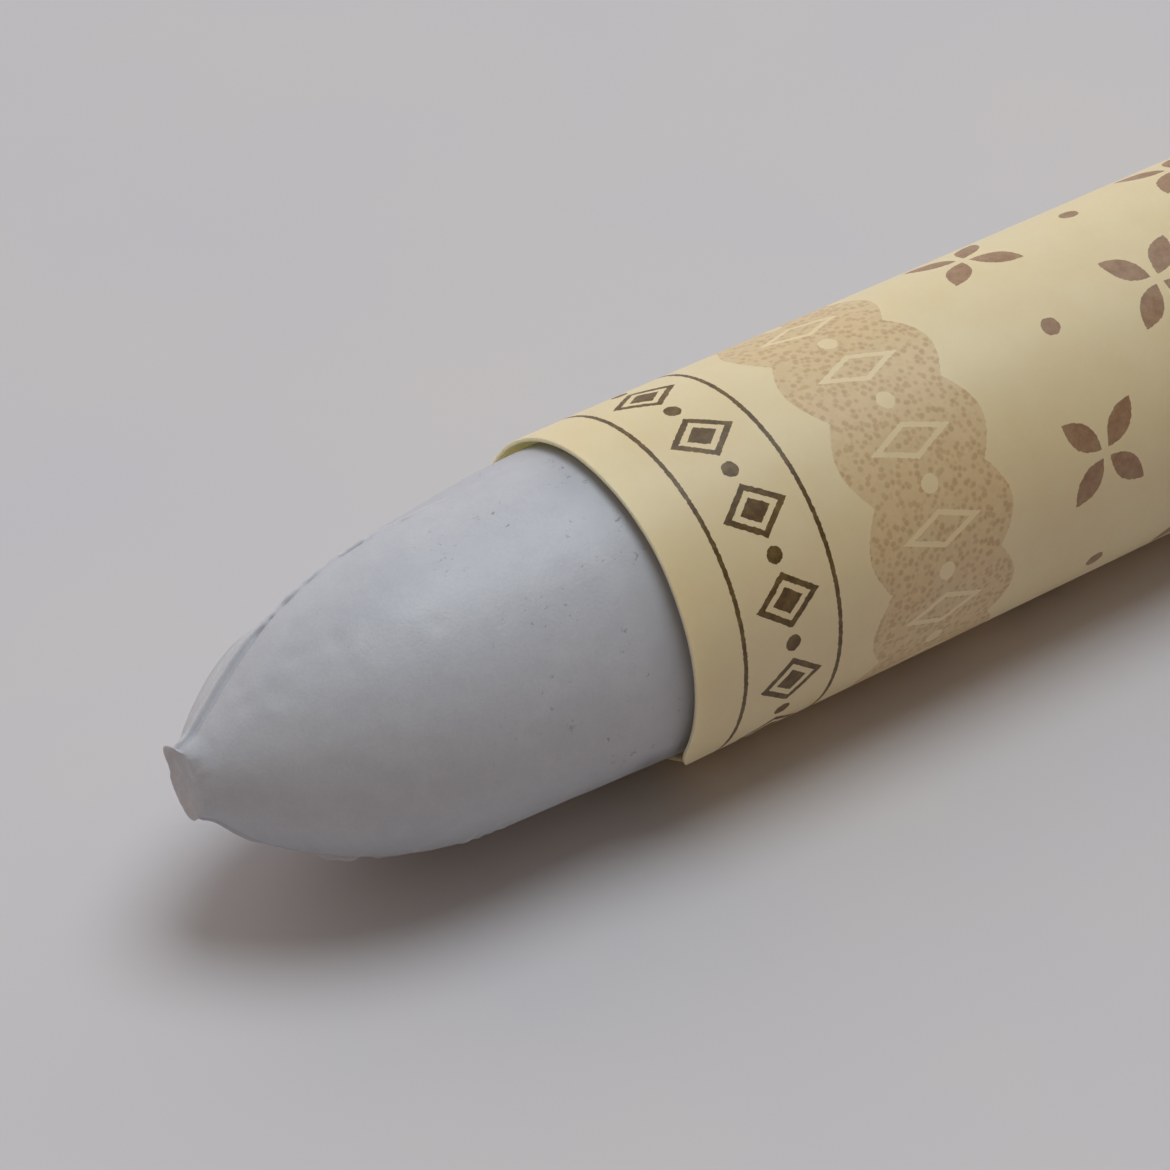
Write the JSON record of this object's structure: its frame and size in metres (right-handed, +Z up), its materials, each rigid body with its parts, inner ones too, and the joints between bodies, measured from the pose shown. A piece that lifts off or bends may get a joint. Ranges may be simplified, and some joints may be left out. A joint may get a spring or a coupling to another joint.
{
  "type": "oil pastel",
  "caption": "Round cast oil pastel stick with a bullet nose and mould flash, sliding in a rolled and glued paper sleeve, for drawing by hand or in a holder.",
  "frame": {"origin": "middle of the part's length, on the table under the stick's axis", "axes": "+X along the stick from its nose to its flat back, +Y to the side, +Z up from the table"},
  "size_m": [0.07, 0.0108, 0.0108],
  "materials": {
    "pastel": "satin",
    "paper": "satin",
    "glue": "matte"
  },
  "bodies": {
    "sleeve": {"paper_sleeve": "paper", "seam_glue": "glue"},
    "stick": {"pastel_stick": "pastel"}
  },
  "joints": [
    {"name": "stick_slide", "type": "slide", "parent": "sleeve", "child": "stick", "axis": [-1, 0, 0], "range_m": [-0.014, 0.046]}
  ]
}
